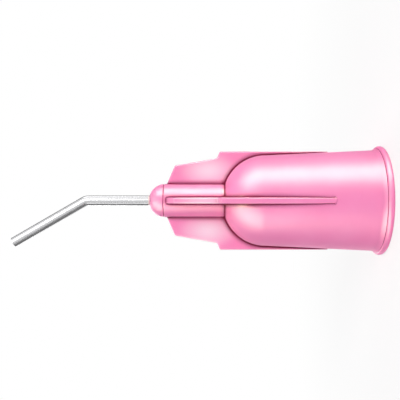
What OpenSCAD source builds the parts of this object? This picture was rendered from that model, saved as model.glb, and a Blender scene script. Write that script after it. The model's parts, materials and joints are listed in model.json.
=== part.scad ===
// Bent dispensing needle tip, in millimetres.
// A moulded hub with a tapered socket and grip wings carries a bent steel cannula,
// which a cured adhesive holds in the hub's nose.
// The hub stands on its rim: the origin is the middle of the rim's end face,
// +Z runs up the axis to the nose, and the cannula bends towards -X.

/* [Rim] */
// Outside diameter of the rolled rim
rim_d = 7.8; // [7.6:0.1:9]
// Height from the end face to the crease above the rim's bead
rim_h = 0.42; // [0.34:0.02:0.42]
// Radius of the bead's round section
bead_r = 0.24; // [0.24:0.02:0.4]
// Height of the bead's widest point above the end face
bead_z = 0.2; // [0.18:0.01:0.23]
// Length of the hollow flare that runs from the crease into the barrel
flare_len = 0.38; // [0.2:0.02:1]

/* [Barrel] */
// Outside diameter of the barrel at the rim
barrel_d = 7.28; // [6.8:0.02:7.4]
// Outside diameter of the barrel at the shoulder
shoulder_d = 6.5; // [6:0.05:7]
// Length from the rim's end face to the shoulder
barrel_len = 8.4; // [7.5:0.1:12]
// Length of the rounded shoulder, as if it ran on to the axis
shoulder_len = 3.05; // [2.6:0.05:4]

/* [Nose] */
// Diameter of the nose and of its round end
nose_d = 2.4; // [2:0.05:3]
// Length of the straight nose, from the shoulder's peak to its round end
nose_len = 4.04; // [3:0.02:8]
// Distance from the straight nose's end up to the witness groove around the round end
groove_rise = 0.12; // [0.06:0.02:0.3]
// Width of the witness groove
groove_w = 0.1; // [0.04:0.02:0.2]
// Depth of the witness groove
groove_h = 0.05; // [0.02:0.01:0.1]

/* [Wings] */
// Number of wings around the hub
wing_count = 4; // [2:1:6]
// Thickness of a wing
wing_t = 0.42; // [0.3:0.02:0.8]
// How far a wing stands out from the barrel at the shoulder
wing_stand = 0.275; // [0.15:0.025:0.8]
// Length of a wing's outer edge, along the barrel
wing_len = 7.8; // [4:0.1:8.4]
// Distance from the shoulder's peak up to the foot of the wing's step
step_gap = 0.34; // [0.1:0.02:1]
// Height of the step
step_h = 0.475; // [0.2:0.025:0.8]
// Slant of the step along the axis
step_run = 0.2; // [0:0.05:0.6]
// How far a wing stands out from the nose at its front corner
fin_stand = 1.32; // [0.6:0.02:1.5]
// Slant of the front edge along the axis
fin_run = 0.57; // [0:0.03:1.2]
// Distance from the front edge's foot to the nose's round end
fin_gap = 0.11; // [0:0.01:0.6]

/* [Socket] */
// Diameter of the socket at its mouth
mouth_d = 4.3; // [4:0.05:4.6]
// Change of the socket's diameter for each millimetre of depth
taper = 0.06; // [0.02:0.01:0.1]
// Depth of the tapered socket
socket_depth = 9.2; // [7.5:0.1:9.6]
// Chamfer around the mouth
mouth_chamfer = 0.2; // [0.05:0.05:0.4]
// Length of the funnel between the socket and the adhesive well
funnel_len = 1.6; // [1:0.1:2]

/* [Cannula] */
// Outside diameter of the cannula
cannula_od = 0.72; // [0.5:0.01:0.92]
// Bore of the cannula
cannula_id = 0.41; // [0.2:0.01:0.46]
// Length from the round end of the nose to the middle of the bend
straight_len = 4.52; // [2:0.02:12]
// Length from the middle of the bend to the outlet
outlet_len = 6.04; // [2:0.02:12]
// Angle of the bend
bend_angle = 30; // [10:1:90]
// Radius of the bend along the cannula's middle line
bend_r = 0.7; // [0.6:0.05:1.5]
// How far the inner end stands out of the adhesive into the funnel
inner_stand = 0.4; // [0.2:0.05:1]

/* [Adhesive] */
// Gap around the cannula in the nose, filled with adhesive
bond_gap = 0.06; // [0.03:0.01:0.12]
// Width of the well around the cannula's inner end
well_gap = 0.29; // [0.15:0.01:0.4]
// Depth of the well
well_len = 1.5; // [0.5:0.1:3]
// How far the adhesive climbs up the cannula at either end
climb = 0.1; // [0.02:0.01:0.18]

/* [Hidden] */
$fn = 96;
arc_steps = 10;
over = 1;

rim_r = rim_d / 2;
barrel_r = barrel_d / 2;
shoulder_r = shoulder_d / 2;
nose_r = nose_d / 2;
wing_r = shoulder_r + wing_stand;
cannula_r = cannula_od / 2;
bore_r = cannula_r + bond_gap;
well_r = cannula_r + well_gap;
mouth_r = mouth_d / 2;
socket_end_r = mouth_r - taper * socket_depth / 2;

peak_z = barrel_len + shoulder_len;
dome_z = peak_z + nose_len;
exit_z = dome_z + sqrt(nose_r * nose_r - bore_r * bore_r);
nose_end_z = dome_z + nose_r;
well_z = socket_depth + funnel_len;
well_end_z = well_z + well_len;
bend_z = nose_end_z + straight_len;
bend_cut = bend_r * tan(bend_angle / 2);

crease_r = rim_r - bead_r + sqrt(bead_r * bead_r - (rim_h - bead_z) * (rim_h - bead_z));
face_r = rim_r - bead_r + sqrt(bead_r * bead_r - bead_z * bead_z);
// Angle on the shoulder's ellipse at which it meets the nose
nose_angle = acos(nose_r / shoulder_r);

// Points of an arc with half-axes rx and ry about c, from angle a to angle b
function arc(c, rx, ry, a, b) = [
    for (i = [0 : arc_steps])
        let (t = a + (b - a) * i / arc_steps)
            [c[0] + rx * cos(t), c[1] + ry * sin(t)]
];

// Radius of the barrel's tapered outside at height z
function barrel_r_at(z) = barrel_r + (shoulder_r - barrel_r) * z / barrel_len;

// The hollow flare, tangent to the barrel at its top
function flare() = [
    for (i = [1 : arc_steps])
        let (share = i / arc_steps, z = rim_h + flare_len * share)
            [barrel_r_at(z) + (crease_r - barrel_r_at(rim_h)) * pow(1 - share, 2), z]
];

module body_profile() {
    bead_angle = asin(bead_z / bead_r);
    crease_angle = asin((rim_h - bead_z) / bead_r);
    polygon(concat(
        [[0, 0], [face_r, 0]],
        arc([rim_r - bead_r, bead_z], bead_r, bead_r, -bead_angle, crease_angle),
        flare(),
        arc([0, barrel_len], shoulder_r, shoulder_len, 0, nose_angle),
        arc([0, dome_z], nose_r, nose_r, 0, acos(bore_r / nose_r)),
        [[0, exit_z]]
    ));
}

// One wing, seen from the side: radius along X, height along Y
module wing_profile() {
    step_z = peak_z + step_gap;
    edge_z = step_z - step_run;
    foot_z = dome_z - fin_gap;
    polygon([
        [bore_r, edge_z - wing_len],
        [wing_r, edge_z - wing_len],
        [wing_r, edge_z],
        [wing_r - step_h, step_z],
        [nose_r + fin_stand, foot_z - fin_run],
        [nose_r, foot_z],
        [bore_r, foot_z]
    ]);
}

module wings() {
    for (i = [0 : wing_count - 1])
        rotate([90, 0, 360 / wing_count * i])
            linear_extrude(wing_t, center = true)
                wing_profile();
}

// Everything inside the hub that is open: socket, funnel, well and nose bore
module bore_profile() {
    polygon([
        [0, -over],
        [mouth_r + mouth_chamfer, -over],
        [mouth_r + mouth_chamfer, 0],
        [mouth_r - taper * mouth_chamfer / 2, mouth_chamfer],
        [socket_end_r, socket_depth],
        [well_r, well_z],
        [well_r, well_end_z],
        [bore_r, well_end_z],
        [bore_r, exit_z + over],
        [0, exit_z + over]
    ]);
}

// Section of the ring cut that leaves the witness groove
module groove_profile() {
    half_w = groove_w / 2;
    translate([sqrt(nose_r * nose_r - groove_rise * groove_rise), dome_z + groove_rise])
        polygon([[-groove_h, 0], [0, -half_w], [groove_h, -half_w], [groove_h, half_w], [0, half_w]]);
}

module hub() {
    color([0.96, 0.58, 0.77])
        difference() {
            union() {
                rotate_extrude() body_profile();
                wings();
            }
            rotate_extrude() bore_profile();
            rotate_extrude() groove_profile();
        }
}

// Cured adhesive around the cannula: it fills the well and the gap along the nose
module adhesive() {
    color([0.93, 0.86, 0.80])
        rotate_extrude()
            polygon([
                [cannula_r, well_z - climb],
                [well_r, well_z],
                [well_r, well_end_z],
                [bore_r, well_end_z],
                [bore_r, exit_z],
                [cannula_r, exit_z + climb]
            ]);
}

// A bent round rod on the cannula's middle line, longer by extra at both ends
module bent_rod(r, extra) {
    start_z = well_z - climb - inner_stand - extra;
    arc_z = bend_z - bend_cut;
    translate([0, 0, start_z])
        cylinder(r = r, h = arc_z - start_z);
    translate([-bend_r, 0, arc_z]) {
        rotate([90, 0, 0])
            rotate_extrude(angle = bend_angle)
                translate([bend_r, 0])
                    circle(r);
        rotate([0, -bend_angle, 0])
            translate([bend_r, 0, 0])
                cylinder(r = r, h = outlet_len - bend_cut + extra);
    }
}

module cannula() {
    color([0.78, 0.79, 0.80])
        difference() {
            bent_rod(cannula_r, 0);
            bent_rod(cannula_id / 2, over);
        }
}

hub();
adhesive();
cannula();
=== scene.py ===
# Bent dispensing needle tip: a moulded hub, a steel cannula and the adhesive between them
import json
import math

import bpy
import numpy as np
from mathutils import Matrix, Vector


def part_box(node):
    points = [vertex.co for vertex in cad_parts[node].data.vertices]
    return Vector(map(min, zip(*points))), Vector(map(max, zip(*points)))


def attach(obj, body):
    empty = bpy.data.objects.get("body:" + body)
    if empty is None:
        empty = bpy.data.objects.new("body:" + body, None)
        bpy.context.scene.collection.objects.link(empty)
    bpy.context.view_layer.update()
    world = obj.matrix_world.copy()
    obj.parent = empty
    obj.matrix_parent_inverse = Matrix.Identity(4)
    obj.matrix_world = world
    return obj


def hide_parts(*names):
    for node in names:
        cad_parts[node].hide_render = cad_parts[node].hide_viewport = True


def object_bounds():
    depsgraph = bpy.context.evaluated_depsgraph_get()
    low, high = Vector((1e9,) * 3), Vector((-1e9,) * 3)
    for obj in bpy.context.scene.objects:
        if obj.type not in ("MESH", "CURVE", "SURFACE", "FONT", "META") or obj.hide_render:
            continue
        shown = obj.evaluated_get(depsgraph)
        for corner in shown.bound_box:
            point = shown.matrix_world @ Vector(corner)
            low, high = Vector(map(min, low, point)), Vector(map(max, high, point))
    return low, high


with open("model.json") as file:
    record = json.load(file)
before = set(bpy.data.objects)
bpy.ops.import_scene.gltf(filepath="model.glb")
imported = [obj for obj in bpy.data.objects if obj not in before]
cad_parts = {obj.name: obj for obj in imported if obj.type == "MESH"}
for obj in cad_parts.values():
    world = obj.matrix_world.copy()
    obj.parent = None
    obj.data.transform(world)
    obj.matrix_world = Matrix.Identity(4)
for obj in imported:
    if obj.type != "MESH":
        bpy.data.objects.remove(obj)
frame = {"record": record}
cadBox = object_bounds()
print("frame loaded")

mm = 0.001  # the pieces are shaped in millimetres, the scene is in metres


# Points of an arc with two half-axes, from one angle to another, in degrees
def arcPoints(centre, halfAxes, start, end, steps):
    points = []
    for step in range(steps + 1):
        angle = math.radians(start + (end - start) * step / steps)
        x = centre[0] + halfAxes[0] * math.cos(angle)
        y = centre[1] + halfAxes[1] * math.sin(angle)
        points.append((x, y))
    return points


# An outline with each corner turned into a short curve, which takes less than half of an edge
def softenCorners(outline, cut, steps=5, most=0.45):
    softened = []
    for index, corner in enumerate(outline):
        corner = Vector(corner)
        before = Vector(outline[index - 1]) - corner
        after = Vector(outline[(index + 1) % len(outline)]) - corner
        reach = min(cut, before.length * most, after.length * most)
        first = corner + before.normalized() * reach
        last = corner + after.normalized() * reach
        for step in range(steps + 1):
            share = step / steps
            point = first.lerp(corner, share).lerp(corner.lerp(last, share), share)
            softened.append((point.x, point.y))
    return softened


# Signed distance from points to a closed outline, negative inside
def outlineDistance(x, y, outline):
    starts = np.array(outline)
    ends = np.roll(starts, -1, axis=0)
    edge = ends - starts
    towardX = np.asarray(x)[..., None] - starts[:, 0]
    towardY = np.asarray(y)[..., None] - starts[:, 1]
    along = (towardX * edge[:, 0] + towardY * edge[:, 1]) / (edge ** 2).sum(axis=1)
    along = np.clip(along, 0, 1)
    gap = np.hypot(towardX - along * edge[:, 0], towardY - along * edge[:, 1]).min(axis=-1)
    height = np.asarray(y)[..., None]
    crosses = (starts[:, 1] <= height) != (ends[:, 1] <= height)
    rise = np.where(edge[:, 1] == 0, 1, edge[:, 1])
    crossing = starts[:, 0] + (height - starts[:, 1]) / rise * edge[:, 0]
    inside = (crosses & (crossing > np.asarray(x)[..., None])).sum(axis=-1) % 2 == 1
    return np.where(inside, -gap, gap)


# Joins two distances, with a fine line sunk along the corner between them
def creasedUnion(first, second, depth, width):
    nearCorner = np.exp(-(first ** 2 + second ** 2) / width ** 2)
    return np.minimum(first, second) + depth * nearCorner


# A mesh from rings of points: each ring joins the next one, and the last joins the first
def ringMesh(name, rings, sharpAngle=40):
    count = len(rings[0])
    vertices = [Vector(point) * mm for ring in rings for point in ring]
    faces = []
    for row in range(len(rings)):
        below = row * count
        above = (row + 1) % len(rings) * count
        for column in range(count):
            following = (column + 1) % count
            faces.append((below + column, below + following, above + following, above + column))
    mesh = bpy.data.meshes.new(name)
    mesh.from_pydata(vertices, [], faces)
    mesh.validate()
    for polygon in mesh.polygons:
        polygon.use_smooth = True
    mesh.set_sharp_from_angle(angle=math.radians(sharpAngle))
    piece = bpy.data.objects.new(name, mesh)
    bpy.context.scene.collection.objects.link(piece)
    return piece


# Hub, moulded in one piece
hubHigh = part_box("hub")[1]
hub = {
    "rimRadius": hubHigh.x / mm,
    "topHeight": hubHigh.z / mm,  # where the bore leaves the round end
    "boreRadius": 0.42,
    "rimHeight": 0.42,  # end face to the crease above the bead
    "beadRadius": 0.24,
    "beadHeight": 0.2,
    "creaseDepth": 0.045,  # of the fine line where two forms meet
    "creaseWidth": 0.045,
    "flareLength": 0.38,
    "barrelRadius": 3.64,  # at the rim
    "shoulderRadius": 3.25,
    "barrelLength": 8.4,
    "shoulderLength": 3.05,
    "noseRadius": 1.2,
    "grooveHeight": 0.12,  # above the middle of the round end
    "grooveDepth": 0.05,
    "grooveWidth": 0.05,
    "grooveSteepness": 1.7,
    "wingCount": 4,
    "wingThickness": 0.42,
    "wingEdge": 0.09,  # rounding along a wing's edges
    "wingHighlightRadius": 2.15,  # middle of the painted highlight on a wing's thin part: from the axis, and its height
    "wingHighlightHeight": 12.4,
    "wingHighlightRadiusReach": 1.5,
    "wingHighlightHeightReach": 2.6,
    "wingRadius": 3.525,
    "wingStart": 3.79,
    "wingInside": 0.5,  # where a wing ends inside the body
    "stepStart": 11.59,
    "stepEnd": 11.79,
    "stepRadius": 3.05,
    "frontRadius": 2.52,
    "frontStart": 14.81,
    "frontEnd": 15.38,
    "mouthRadius": 2.15,
    "mouthChamfer": 0.2,
    "socketTaper": 0.03,
    "socketDepth": 9.2,
    "wellRadius": 0.65,
    "wellStart": 10.8,
    "wellEnd": 12.3,
    "insideSoftening": 0.06,
    "rimFaceWidth": 0.5,
    "flareSteps": 12,
    "shoulderSteps": 60,
    "sectorSteps": (4, 12, 16),  # over half a wing's edge, down its side, and on to mid-way
    "rootOffset": 0.1,  # how far beside a wing's root the body's points start where it fades
    "rootFade": 0.05,  # how far a wing stands out where it starts to fade
    "wingMargins": (0.25, 0.1),  # below and above the wings, where their rings still follow them
    "evenDistance": 0.8,  # from there to where the rings are even
}


# Radius of the barrel's tapered outside at a height
def barrelRadius(height):
    share = height / hub["barrelLength"]
    return hub["barrelRadius"] + (hub["shoulderRadius"] - hub["barrelRadius"]) * share


def domeCentre():
    return hub["topHeight"] - math.sqrt(hub["noseRadius"] ** 2 - hub["boreRadius"] ** 2)


# The rim's bead, the hollow flare, the barrel and the shoulder, from the end face up
def barrelOutline():
    bead = hub["beadRadius"]
    lowAngle = math.degrees(math.asin(hub["beadHeight"] / bead))
    highAngle = math.degrees(math.asin((hub["rimHeight"] - hub["beadHeight"]) / bead))
    centre = (hub["rimRadius"] - bead, hub["beadHeight"])
    outline = arcPoints(centre, (bead, bead), -lowAngle, highAngle, hub["flareSteps"])
    crease = outline[-1][0] - barrelRadius(hub["rimHeight"])
    sunk = outline[-1][0] - hub["creaseDepth"]
    outline.append((sunk, hub["rimHeight"] + hub["creaseDepth"] / 3))
    for step in range(1, hub["flareSteps"] + 1):
        share = step / hub["flareSteps"]
        height = hub["rimHeight"] + hub["flareLength"] * share
        outline.append((barrelRadius(height) + crease * (1 - share) ** 2, height))
    shoulder = (hub["shoulderRadius"], hub["shoulderLength"])
    outline += arcPoints((0, hub["barrelLength"]), shoulder, 0, 90, hub["shoulderSteps"])
    return outline


# A wing seen from the side: distance from the hub's axis, and height
def wingOutline():
    start, end = hub["wingStart"], hub["frontEnd"]
    hidden = hub["wingInside"]
    corners = [
        (hidden, start),
        (hub["wingRadius"], start),
        (hub["wingRadius"], hub["stepStart"]),
        (hub["stepRadius"], hub["stepEnd"]),
        (hub["frontRadius"], hub["frontStart"]),
        (hub["noseRadius"], end),
        (hidden, end),
    ]
    return softenCorners(corners, hub["wingEdge"])


# Signed distance to the hub's outside, at a point beside the nearest wing's middle plane
def hubDistance(along, across, height, outlines):
    radius = np.hypot(along, across)
    barrel = outlineDistance(radius, height, outlines["barrel"])
    nose = np.hypot(radius, np.maximum(height - domeCentre(), 0)) - hub["noseRadius"]
    body = creasedUnion(barrel, nose, hub["creaseDepth"], hub["creaseWidth"])
    edge = hub["wingEdge"]
    side = outlineDistance(along, height, outlines["wing"]) + edge
    half = hub["wingThickness"] / 2
    face = np.hypot(across, np.maximum(hub["wingStart"] + half - height, 0)) - half + edge
    wing = np.hypot(np.maximum(side, 0), np.maximum(face, 0)) - edge
    wing = wing + np.minimum(np.maximum(side, face), 0)
    return creasedUnion(body, wing, hub["creaseDepth"], hub["creaseWidth"])


# Radius of the hub's round body at a height, without its wings
def bodyRadius(height, outlines):
    radii = [point[0] for point in outlines["barrel"]]
    heights = [point[1] for point in outlines["barrel"]]
    barrel = np.interp(height, heights, radii, right=0)
    above = max(height - domeCentre(), 0)
    nose = math.sqrt(max(hub["noseRadius"] ** 2 - above ** 2, 0))
    fromGroove = (height - domeCentre() - hub["grooveHeight"]) / hub["grooveWidth"]
    nose -= hub["grooveDepth"] * math.exp(-(fromGroove * hub["grooveSteepness"]) ** 2)
    return max(barrel, nose)


# Heights of the hub's rings: close together near each detail
def ringHeights(low, high, details, widest=0.13, closest=0.014, growth=0.14):
    heights = [low]
    while heights[-1] < high:
        gap = min(abs(heights[-1] - detail) for detail in details)
        heights.append(heights[-1] + min(widest, closest + growth * gap))
    heights[-1] = high
    return heights


# Half of one wing's share of the hub at a height: from the wing's middle plane
# to the plane halfway to the next wing
def sectorPoints(height, outlines):
    edgeSteps, sideSteps, bodySteps = hub["sectorSteps"]
    body = bodyRadius(height, outlines)
    corners = outlines["wingRadii"]
    wing = np.interp(height, [c[1] for c in corners], [c[0] for c in corners], left=0, right=0)
    wing = max(wing, body)
    half = hub["wingThickness"] / 2
    # the crease at the wing's root, or beside it where the wing fades into the body
    root = half + hub["rootOffset"] * (1 - min((wing - body) / hub["rootFade"], 1))
    points = []
    for step in range(edgeSteps):
        across = half * step / edgeSteps
        points.append((math.sqrt(wing ** 2 - across ** 2), across))
    outer = Vector((math.sqrt(wing ** 2 - half ** 2), half))
    inner = Vector((math.sqrt(body ** 2 - root ** 2), root)) if body > root else Vector((0, body))
    for step in range(sideSteps):
        share = (1 - math.cos(math.pi * step / sideSteps)) / 2
        points.append(tuple(outer.lerp(inner, share)))
    startAngle = math.atan2(inner.y, inner.x)
    endAngle = math.pi / hub["wingCount"]
    crease = hub["creaseWidth"] / body
    for step in range(bodySteps + 1):
        angle = startAngle
        if step:
            angle += crease + (endAngle - startAngle - crease) * (step - 1) / (bodySteps - 1)
        points.append((body * math.cos(angle), body * math.sin(angle)))
    return np.array(points)


# Moves points onto the hub's surface along its slope
def settle(points, outlines, rounds=6, probe=1e-4, gentlest=0.2):
    for _ in range(rounds):
        value = hubDistance(*points.T, outlines)
        slope = np.zeros_like(points)
        for axis in range(3):
            shift = np.zeros(3)
            shift[axis] = probe
            ahead = hubDistance(*(points + shift).T, outlines)
            behind = hubDistance(*(points - shift).T, outlines)
            slope[:, axis] = (ahead - behind) / (2 * probe)
        size = np.maximum((slope ** 2).sum(axis=1), gentlest)
        points = points - (value / size)[:, None] * slope
    return points


# A whole ring from one sector: each sector and its mirror image, round the hub
def fullRing(sector):
    turn = 2 * math.pi / hub["wingCount"]
    ring = []
    for index in range(hub["wingCount"]):
        for along, across, height in sector[:-1]:
            ring.append(turned(along, across, height, turn * index))
        for along, across, height in sector[:0:-1]:
            ring.append(turned(along, -across, height, turn * (index + 1)))
    return ring


def turned(x, y, z, angle):
    return (x * math.cos(angle) - y * math.sin(angle), x * math.sin(angle) + y * math.cos(angle), z)


def evenRing(radius, height, count):
    return [turned(radius, 0, height, 2 * math.pi * step / count) for step in range(count)]


def buildHub():
    outlines = {"barrel": barrelOutline(), "wing": wingOutline()}
    outlines["wingRadii"] = [
        (hub["wingRadius"], hub["wingStart"]),
        (hub["wingRadius"], hub["stepStart"]),
        (hub["stepRadius"], hub["stepEnd"]),
        (hub["frontRadius"], hub["frontStart"]),
        (hub["noseRadius"], hub["frontEnd"]),
    ]
    junction = hub["barrelLength"] + hub["shoulderLength"] * math.sqrt(
        1 - (hub["noseRadius"] / hub["shoulderRadius"]) ** 2)
    groove = domeCentre() + hub["grooveHeight"]
    details = [hub["wingStart"], hub["stepStart"], hub["stepEnd"], hub["frontStart"]]
    details += [hub["frontEnd"], junction, groove, hub["topHeight"]]
    flareTop = hub["rimHeight"] + hub["flareLength"]
    heights = [point[1] for point in outlines["barrel"] if point[1] < flareTop]
    heights += ringHeights(flareTop, hub["topHeight"], details)
    winged = (hub["wingStart"] - hub["wingMargins"][0], hub["frontEnd"] + hub["wingMargins"][1])

    rings = []
    for height in heights:
        sector = sectorPoints(height, outlines)
        points = np.column_stack([sector, np.full(len(sector), height)])
        if winged[0] < height < winged[1]:
            points = settle(points, outlines)
            points[0, 1] = 0
        else:
            distance = max(winged[0] - height, height - winged[1])
            evenness = min(distance / hub["evenDistance"], 1)
            angles = np.arctan2(points[:, 1], points[:, 0])
            even = np.linspace(0, math.pi / hub["wingCount"], len(points))
            angles = angles + (even - angles) * evenness
            radius = bodyRadius(height, outlines)
            points[:, 0] = radius * np.cos(angles)
            points[:, 1] = radius * np.sin(angles)
        rings.append(fullRing(points))

    count = len(rings[0])
    chamfer = hub["mouthChamfer"]
    inside = [
        (hub["boreRadius"], hub["topHeight"]),
        (hub["boreRadius"], hub["wellEnd"]),
        (hub["wellRadius"], hub["wellEnd"]),
        (hub["wellRadius"], hub["wellStart"]),
        (hub["mouthRadius"] - hub["socketTaper"] * hub["socketDepth"], hub["socketDepth"]),
        (hub["mouthRadius"] - hub["socketTaper"] * chamfer, chamfer),
        (hub["mouthRadius"] + chamfer, 0),
        (hub["rimRadius"] - hub["rimFaceWidth"], 0),
    ]
    for radius, height in softenCorners(inside, hub["insideSoftening"], 3)[4:-4]:
        rings.append(evenRing(radius, height, count))
    rings.append(evenRing(inside[-1][0], 0, count))
    shell = ringMesh("hubShell", rings)
    markWingHighlights(shell, outlines)
    return shell


# Marks a patch in the middle of each wing's thin, free part, where a highlight is painted as a
# paler colour, partly the lighter colour of thin plastic
def markWingHighlights(shell, outlines):
    marks = shell.data.attributes.new("thinWingHighlight", "FLOAT", "POINT")
    middle = Vector((hub["wingHighlightRadius"], hub["wingHighlightHeight"]))
    for vertex, mark in zip(shell.data.vertices, marks.data):
        place = vertex.co / mm
        radius = math.hypot(place.x, place.y)
        offset = Vector((radius, place.z)) - middle
        offset.y *= hub["wingHighlightRadiusReach"] / hub["wingHighlightHeightReach"]
        share = max(1 - offset.length / hub["wingHighlightRadiusReach"], 0)
        free = min(max((radius - bodyRadius(place.z, outlines)) / 0.3, 0), 1)
        mark.value = share * share * (3 - 2 * share) * free


# Cannula: a tube on a bent middle line, worked out from its outlet's mount
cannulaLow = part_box("cannula")[0]
outlet = next(mount for mount in frame["record"]["mounts"] if mount["name"] == "outlet_leg")
cannula = {
    "outerRadius": outlet["dims"]["r_mm"],
    "boreRadius": 0.205,
    "bendRadius": 0.7,
    "burrRemoved": 0.025,  # small chamfer at both ends
    "sides": 64,
    "straightSteps": 40,
    "bendSteps": 16,
    "legSteps": 30,
}


def middleLine():
    end = Vector(outlet["pos_m"]) / mm
    heading = Vector(outlet["axis"]).normalized()
    bendAngle = math.atan2(-heading.x, heading.z)
    corner = end - heading * (end.x / heading.x)
    cut = cannula["bendRadius"] * math.tan(bendAngle / 2)
    stations = []
    low, arcStart = cannulaLow.z / mm, corner.z - cut
    for step in range(cannula["straightSteps"] + 1):
        height = low + (arcStart - low) * step / cannula["straightSteps"]
        stations.append((Vector((0, 0, height)), 0))
    for step in range(1, cannula["bendSteps"] + 1):
        angle = bendAngle * step / cannula["bendSteps"]
        x = -cannula["bendRadius"] * (1 - math.cos(angle))
        z = arcStart + cannula["bendRadius"] * math.sin(angle)
        stations.append((Vector((x, 0, z)), angle))
    legStart = stations[-1][0]
    for step in range(1, cannula["legSteps"] + 1):
        stations.append((legStart.lerp(end, step / cannula["legSteps"]), bendAngle))
    return stations


def tubeRing(centre, angle, radius):
    ring = []
    for step in range(cannula["sides"]):
        around = 2 * math.pi * step / cannula["sides"]
        inPlane = Vector((math.cos(angle), 0, math.sin(angle))) * math.cos(around)
        sideways = Vector((0, 1, 0)) * math.sin(around)
        ring.append(centre + (inPlane + sideways) * radius)
    return ring


def buildCannula():
    stations = middleLine()
    burr = cannula["burrRemoved"]
    outer, bore = cannula["outerRadius"], cannula["boreRadius"]
    firstCentre, lastCentre = stations[0][0], stations[-1][0]
    firstAngle, lastAngle = stations[0][1], stations[-1][1]
    inward = Vector((0, 0, burr))
    backward = Vector((math.sin(lastAngle), 0, -math.cos(lastAngle))) * burr
    rings = [tubeRing(firstCentre, firstAngle, outer - burr)]
    rings.append(tubeRing(firstCentre + inward, firstAngle, outer))
    for centre, angle in stations[1:-1]:
        rings.append(tubeRing(centre, angle, outer))
    rings.append(tubeRing(lastCentre + backward, lastAngle, outer))
    rings.append(tubeRing(lastCentre, lastAngle, outer - burr))
    rings.append(tubeRing(lastCentre, lastAngle, bore + burr))
    rings.append(tubeRing(lastCentre + backward, lastAngle, bore))
    for centre, angle in reversed(stations[1:-1]):
        rings.append(tubeRing(centre, angle, bore))
    rings.append(tubeRing(firstCentre + inward, firstAngle, bore))
    rings.append(tubeRing(firstCentre, firstAngle, bore + burr))
    tube = ringMesh("cannulaTube", rings, 30)
    layTubeMap(tube, len(rings))
    return tube


# A map that runs along the tube, for the lines that drawing left in the steel
def layTubeMap(tube, ringCount):
    sides = cannula["sides"]
    layer = tube.data.uv_layers.new(name="alongTube")
    for polygon in tube.data.polygons:
        row, column = divmod(polygon.index, sides)
        corners = [(row, column), (row, column + 1), (row + 1, column + 1), (row + 1, column)]
        for loop, (u, v) in zip(polygon.loop_indices, corners):
            layer.data[loop].uv = (u / ringCount, v / sides)


# Adhesive: fills the hub's well and the gap along the cannula
adhesiveLow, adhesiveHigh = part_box("adhesive")
adhesive = {
    "meniscusSteps": 8,
    "climb": 0.1,  # how far it climbs up the cannula at either end
    "sides": 64,
}


def buildAdhesive():
    low, high = adhesiveLow.z / mm, adhesiveHigh.z / mm
    tube, gap, well = cannula["outerRadius"], hub["boreRadius"], hub["wellRadius"]
    climb, steps = adhesive["climb"], adhesive["meniscusSteps"]
    outline = []
    for step in range(steps + 1):
        share = step / steps
        outline.append((tube + (well - tube) * share, low + climb * (1 - (1 - share) ** 3)))
    outline.append((well, hub["wellEnd"]))
    outline.append((gap, hub["wellEnd"]))
    for step in range(steps + 1):
        share = step / steps
        outline.append((gap + (tube - gap) * share, high - climb + climb * share ** 3))
    rings = [evenRing(radius, height, adhesive["sides"]) for radius, height in outline]
    return ringMesh("curedAdhesive", rings)


# A new material with its nodes and the shader that ends them
def newFinish(name):
    finish = bpy.data.materials.new(name)
    finish.use_nodes = True
    return finish, finish.node_tree.nodes["Principled BSDF"]


# A noise that ranges between two values, over spots of a size in millimetres
def noiseBetween(finish, vector, spot, low, high, detail=3):
    tree = finish.node_tree
    noise = tree.nodes.new("ShaderNodeTexNoise")
    noise.inputs["Scale"].default_value = 1 / (spot * mm)
    noise.inputs["Detail"].default_value = detail
    tree.links.new(vector, noise.inputs["Vector"])
    spread = tree.nodes.new("ShaderNodeMapRange")
    spread.inputs["From Min"].default_value = 0.3
    spread.inputs["From Max"].default_value = 0.7
    spread.inputs["To Min"].default_value = low
    spread.inputs["To Max"].default_value = high
    tree.links.new(noise.outputs["Fac"], spread.inputs["Value"])
    return spread.outputs["Result"]


def colourBetween(finish, share, first, second):
    mix = finish.node_tree.nodes.new("ShaderNodeMix")
    mix.data_type = "RGBA"
    mix.inputs["A"].default_value = (*first, 1)
    mix.inputs["B"].default_value = (*second, 1)
    finish.node_tree.links.new(share, mix.inputs["Factor"])
    return mix.outputs["Result"]


def addBump(finish, shader, height, depth):
    bump = finish.node_tree.nodes.new("ShaderNodeBump")
    bump.inputs["Distance"].default_value = depth * mm
    finish.node_tree.links.new(height, bump.inputs["Height"])
    finish.node_tree.links.new(bump.outputs["Normal"], shader.inputs["Normal"])


def objectPlaces(finish):
    return finish.node_tree.nodes.new("ShaderNodeTexCoord").outputs["Object"]


# How open the surface is to its surroundings, from 0 in a tight corner to 1
def openness(finish, reach, least, most):
    tree = finish.node_tree
    shelter = tree.nodes.new("ShaderNodeAmbientOcclusion")
    shelter.samples = 16
    shelter.inputs["Distance"].default_value = reach * mm
    spread = tree.nodes.new("ShaderNodeMapRange")
    spread.inputs["From Min"].default_value = least
    spread.inputs["From Max"].default_value = most
    tree.links.new(shelter.outputs["AO"], spread.inputs["Value"])
    return spread.outputs["Result"]


hubFinish = {
    "colour": (0.93, 0.265, 0.54),
    "deepColour": (0.91, 0.23, 0.5),
    "paleColour": (0.97, 0.7, 0.84),  # painted highlight in the middle of a wing's thin part, partly the lighter colour of thin plastic
    # painted shade: a dark colour laid into corners and creases, by how closed in they are
    "paintedCornerShade": (0.2, 0.01, 0.05),
    "cornerShadeReach": 0.45,  # how far from a corner its painted shade reaches, in millimetres
    "cornerShadeRange": (0.55, 0.98),  # openness at which that painted shade is full, and gone
    "spots": {"colour": 2.5, "roughness": 0.6, "texture": 0.09},  # sizes, in millimetres
    "roughness": (0.38, 0.44),
    "cornerRoughness": 0.12,
    "gloss": 0.28,
    "ior": 1.49,
    "texture": 0.0015,  # depth of the moulded texture, in millimetres
}


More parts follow.
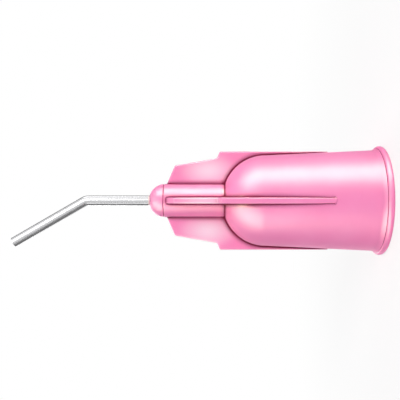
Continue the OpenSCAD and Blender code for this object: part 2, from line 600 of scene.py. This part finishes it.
def pinkPlastic():
    finish, shader = newFinish("pinkPlastic")
    tree = finish.node_tree
    places = objectPlaces(finish)
    spots = hubFinish["spots"]
    cloud = noiseBetween(finish, places, spots["colour"], 0, 1)
    colour = colourBetween(finish, cloud, hubFinish["colour"], hubFinish["deepColour"])
    # Painted highlight: a paler colour in a patch on each wing, partly the lighter colour of thin
    # plastic
    wingHighlightMark = tree.nodes.new("ShaderNodeAttribute")
    wingHighlightMark.attribute_name = "thinWingHighlight"
    highlightedColour = colourBetween(finish, wingHighlightMark.outputs["Fac"], (1, 1, 1), hubFinish["paleColour"])
    tree.links.new(colour, highlightedColour.node.inputs["A"])
    openShare = openness(finish, hubFinish["cornerShadeReach"], *hubFinish["cornerShadeRange"])
    # Painted shade: closed-in corners and creases take a dark colour
    corners = colourBetween(finish, openShare, hubFinish["paintedCornerShade"], (1, 1, 1))
    tree.links.new(highlightedColour, corners.node.inputs["B"])
    tree.links.new(corners, shader.inputs["Base Color"])
    rough = noiseBetween(finish, places, spots["roughness"], *hubFinish["roughness"])
    smooth = tree.nodes.new("ShaderNodeMix")
    smooth.inputs["A"].default_value = hubFinish["cornerRoughness"]
    tree.links.new(openShare, smooth.inputs["Factor"])
    tree.links.new(rough, smooth.inputs["B"])
    tree.links.new(smooth.outputs["Result"], shader.inputs["Roughness"])
    grain = noiseBetween(finish, places, spots["texture"], 0, 1)
    addBump(finish, shader, grain, hubFinish["texture"])
    shader.inputs["IOR"].default_value = hubFinish["ior"]
    shader.inputs["Specular IOR Level"].default_value = hubFinish["gloss"]
    return finish


steelFinish = {
    "colour": (0.66, 0.66, 0.67),
    "darkColour": (0.56, 0.56, 0.57),
    "roughness": (0.24, 0.32),
    "drawLines": 0.0003,  # depth, in millimetres
    "lineStretch": (0.002, 0.02, 1),  # along the tube and round it
    "spot": 0.5,
}


def drawnSteel():
    finish, shader = newFinish("drawnSteel")
    tree = finish.node_tree
    tubeMap = tree.nodes.new("ShaderNodeUVMap")
    tubeMap.uv_map = "alongTube"
    stretch = tree.nodes.new("ShaderNodeMapping")
    stretch.inputs["Scale"].default_value = steelFinish["lineStretch"]
    tree.links.new(tubeMap.outputs["UV"], stretch.inputs["Vector"])
    lines = noiseBetween(finish, stretch.outputs["Vector"], 1, 0, 1, 5)
    colour = colourBetween(finish, lines, steelFinish["colour"], steelFinish["darkColour"])
    tree.links.new(colour, shader.inputs["Base Color"])
    places = objectPlaces(finish)
    rough = noiseBetween(finish, places, steelFinish["spot"], *steelFinish["roughness"])
    tree.links.new(rough, shader.inputs["Roughness"])
    addBump(finish, shader, lines, steelFinish["drawLines"])
    shader.inputs["Metallic"].default_value = 1
    return finish


adhesiveFinish = {
    "colour": (0.82, 0.64, 0.6),
    "paleColour": (0.86, 0.7, 0.66),
    "roughness": (0.08, 0.14),
    "spots": {"colour": 0.3, "roughness": 0.2},
    "ior": 1.5,
}


def clearAdhesive():
    finish, shader = newFinish("clearAdhesive")
    places = objectPlaces(finish)
    spots = adhesiveFinish["spots"]
    cloud = noiseBetween(finish, places, spots["colour"], 0, 1)
    colour = colourBetween(finish, cloud, adhesiveFinish["colour"], adhesiveFinish["paleColour"])
    finish.node_tree.links.new(colour, shader.inputs["Base Color"])
    rough = noiseBetween(finish, places, spots["roughness"], *adhesiveFinish["roughness"])
    finish.node_tree.links.new(rough, shader.inputs["Roughness"])
    shader.inputs["IOR"].default_value = adhesiveFinish["ior"]
    return finish


# White where the camera or a reflection looks, a plain level for all other light
studio = {
    "ambient": 0.33,
    "floorColour": 0.9,
    "floorGlow": 0.72,  # share of plain white in the floor near the object
    "fadeStart": 0.01,  # distance from the object where the floor starts to turn plain white
    "shadowReach": 0.05,  # and where it is plain white
    "floorSize": 1.2,
}


def seenDirectly(tree):
    path = tree.nodes.new("ShaderNodeLightPath")
    total = path.outputs["Is Camera Ray"]
    for name in ("Is Glossy Ray", "Is Transmission Ray"):
        larger = tree.nodes.new("ShaderNodeMath")
        larger.operation = "MAXIMUM"
        tree.links.new(total, larger.inputs[0])
        tree.links.new(path.outputs[name], larger.inputs[1])
        total = larger.outputs["Value"]
    return total


def buildWorld():
    world = bpy.data.worlds.new("paleStudio")
    bpy.context.scene.world = world
    world.use_nodes = True
    tree = world.node_tree
    background = tree.nodes["Background"]
    background.inputs["Color"].default_value = (1, 1, 1, 1)
    level = tree.nodes.new("ShaderNodeMapRange")
    level.inputs["To Min"].default_value = studio["ambient"]
    level.inputs["To Max"].default_value = 1
    tree.links.new(seenDirectly(tree), level.inputs["Value"])
    tree.links.new(level.outputs["Result"], background.inputs["Strength"])


def buildFloor():
    half = studio["floorSize"] / 2
    corners = [(-half, -half, 0), (half, -half, 0), (half, half, 0), (-half, half, 0)]
    mesh = bpy.data.meshes.new("floor")
    mesh.from_pydata(corners, [], [(0, 1, 2, 3)])
    floor = bpy.data.objects.new("floor", mesh)
    bpy.context.scene.collection.objects.link(floor)
    paint = bpy.data.materials.new("whiteFloor")
    paint.use_nodes = True
    tree = paint.node_tree
    tree.nodes.clear()
    matte = tree.nodes.new("ShaderNodeBsdfDiffuse")
    matte.inputs["Color"].default_value = (*[studio["floorColour"]] * 3, 1)
    glow = tree.nodes.new("ShaderNodeEmission")
    glow.inputs["Color"].default_value = (1, 1, 1, 1)
    place = tree.nodes.new("ShaderNodeTexCoord")
    distance = tree.nodes.new("ShaderNodeVectorMath")
    distance.operation = "LENGTH"
    tree.links.new(place.outputs["Object"], distance.inputs[0])
    fade = tree.nodes.new("ShaderNodeMapRange")
    fade.interpolation_type = "SMOOTHSTEP"
    fade.inputs["From Min"].default_value = studio["fadeStart"]
    fade.inputs["From Max"].default_value = studio["shadowReach"]
    fade.inputs["To Min"].default_value = studio["floorGlow"]
    fade.inputs["To Max"].default_value = 1
    tree.links.new(distance.outputs["Value"], fade.inputs["Value"])
    share = tree.nodes.new("ShaderNodeMath")
    share.operation = "MULTIPLY"
    tree.links.new(fade.outputs["Result"], share.inputs[1])
    mix = tree.nodes.new("ShaderNodeMixShader")
    output = tree.nodes.new("ShaderNodeOutputMaterial")
    tree.links.new(seenDirectly(tree), share.inputs[0])
    tree.links.new(share.outputs["Value"], mix.inputs["Fac"])
    tree.links.new(matte.outputs["BSDF"], mix.inputs[1])
    tree.links.new(glow.outputs["Emission"], mix.inputs[2])
    tree.links.new(mix.outputs["Shader"], output.inputs["Surface"])
    mesh.materials.append(paint)
    floor.visible_glossy = False  # reflections show the same white behind it
    floor.visible_shadow = False  # so that a tall lamp may reach below it


# Soft lamps: the way from the object to each, its size and distance in metres, and its level
# A lamp that only shines is seen in the hub's gloss and adds no other light
lamps = {
    "mainLamp": {"way": (0.5, -1, 0.5), "size": (0.16, 0.16), "distance": 0.3, "level": 0.42},
    "sideLamp": {"way": (1, 0.1, 0.3), "size": (0.16, 0.16), "distance": 0.3, "level": 0.13},
    "topLamp": {"way": (0, 0.2, 1), "size": (0.2, 0.2), "distance": 0.3, "level": 0.4},
    "fillLamp": {"way": (-1, -0.5, 0.2), "size": (0.16, 0.16), "distance": 0.3, "level": 0.13},
    "backLamp": {"way": (-0.2, 1, 0.4), "size": (0.16, 0.16), "distance": 0.3, "level": 0.3},
    "upperShine": {
        "way": (0.914, -0.407, 0.15), "size": (0.18, 0.55), "distance": 0.25,
        "level": 15, "colour": (1, 1, 0.64), "onlyShines": True,
    },
    "lowerShine": {
        "way": (-0.557, -0.436, 0.62), "size": (0.22, 0.42), "distance": 0.25,
        "level": 9.5, "colour": (1, 1, 0.64), "onlyShines": True,
    },
}


glossyPieces = bpy.data.collections.new("glossyPieces")  # what the shining lamps are aimed at


def addLamp(name, middle):
    lamp = lamps[name]
    light = bpy.data.lights.new(name, "AREA")
    light.shape = "RECTANGLE"
    light.size, light.size_y = lamp["size"]
    light.color = lamp.get("colour", (1, 1, 1))
    light.energy = lamp["level"] * (math.pi * lamp["distance"]) ** 2
    holder = bpy.data.objects.new(name, light)
    bpy.context.scene.collection.objects.link(holder)
    if lamp.get("onlyShines", False):
        holder.visible_diffuse = False
        holder.light_linking.receiver_collection = glossyPieces
    way = Vector(lamp["way"]).normalized()
    holder.location = middle + way * lamp["distance"]
    holder.rotation_mode = "QUATERNION"
    holder.rotation_quaternion = way.to_track_quat("Z", "Y")


# Grey cards that only reflections see: they give bright metal its darker edges
cards = {
    "lowerCard": {"way": (-1, -0.1, 0.1), "size": (0.9, 0.9), "distance": 0.45, "grey": 0.22},
    "upperCard": {"way": (0.75, 1, 0.1), "size": (0.4, 0.9), "distance": 0.45, "grey": 0.22},
}


def addCard(name, middle):
    card = cards[name]
    halfWidth, halfHeight = card["size"][0] / 2, card["size"][1] / 2
    corners = [
        (-halfWidth, -halfHeight, 0), (halfWidth, -halfHeight, 0),
        (halfWidth, halfHeight, 0), (-halfWidth, halfHeight, 0),
    ]
    mesh = bpy.data.meshes.new(name)
    mesh.from_pydata(corners, [], [(0, 1, 2, 3)])
    paper, shader = newFinish(name)
    shader.inputs["Base Color"].default_value = (0, 0, 0, 1)
    shader.inputs["Specular IOR Level"].default_value = 0
    shader.inputs["Emission Color"].default_value = (*[card["grey"]] * 3, 1)
    shader.inputs["Emission Strength"].default_value = 1
    mesh.materials.append(paper)
    board = bpy.data.objects.new(name, mesh)
    bpy.context.scene.collection.objects.link(board)
    way = Vector(card["way"]).normalized()
    board.location = middle + way * card["distance"]
    board.rotation_mode = "QUATERNION"
    board.rotation_quaternion = way.to_track_quat("Z", "Y")
    board.visible_camera = False
    board.visible_diffuse = False
    board.visible_shadow = False


# The camera lies on its side, with the nose to the left and the bend pointing down
view = {
    "distance": 0.0507,
    "lens": 63.4,
    "height": 0.01301,
    "sideways": 0.00004,
}


def buildCamera():
    camera = bpy.data.cameras.new("camera")
    camera.lens = view["lens"]
    camera.sensor_width = 36
    camera.clip_start = 0.001
    camera.clip_end = 10
    holder = bpy.data.objects.new("camera", camera)
    bpy.context.scene.collection.objects.link(holder)
    holder.location = (view["sideways"], -view["distance"], view["height"])
    holder.rotation_euler = (math.radians(90), math.radians(90), 0)
    bpy.context.scene.camera = holder


buildCamera()
buildWorld()
buildFloor()
middle = (cadBox[0] + cadBox[1]) / 2
for lampName in lamps:
    addLamp(lampName, middle)
for cardName in cards:
    addCard(cardName, middle)
print("studio ready")

hubShell = buildHub()
cannulaTube = buildCannula()
curedAdhesive = buildAdhesive()
print("pieces shaped")

dressing = [
    (hubShell, "hub", "hub_plastic", pinkPlastic()),
    (cannulaTube, "cannula", "drawn_steel", drawnSteel()),
    (curedAdhesive, "adhesive", "cured_adhesive", clearAdhesive()),
]
for piece, node, slotName, finish in dressing:
    piece.data.materials.append(finish)
    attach(piece, "root")
    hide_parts(node)
glossyPieces.objects.link(hubShell)
print("pieces dressed")

bpy.context.scene.view_settings.view_transform = "Standard"
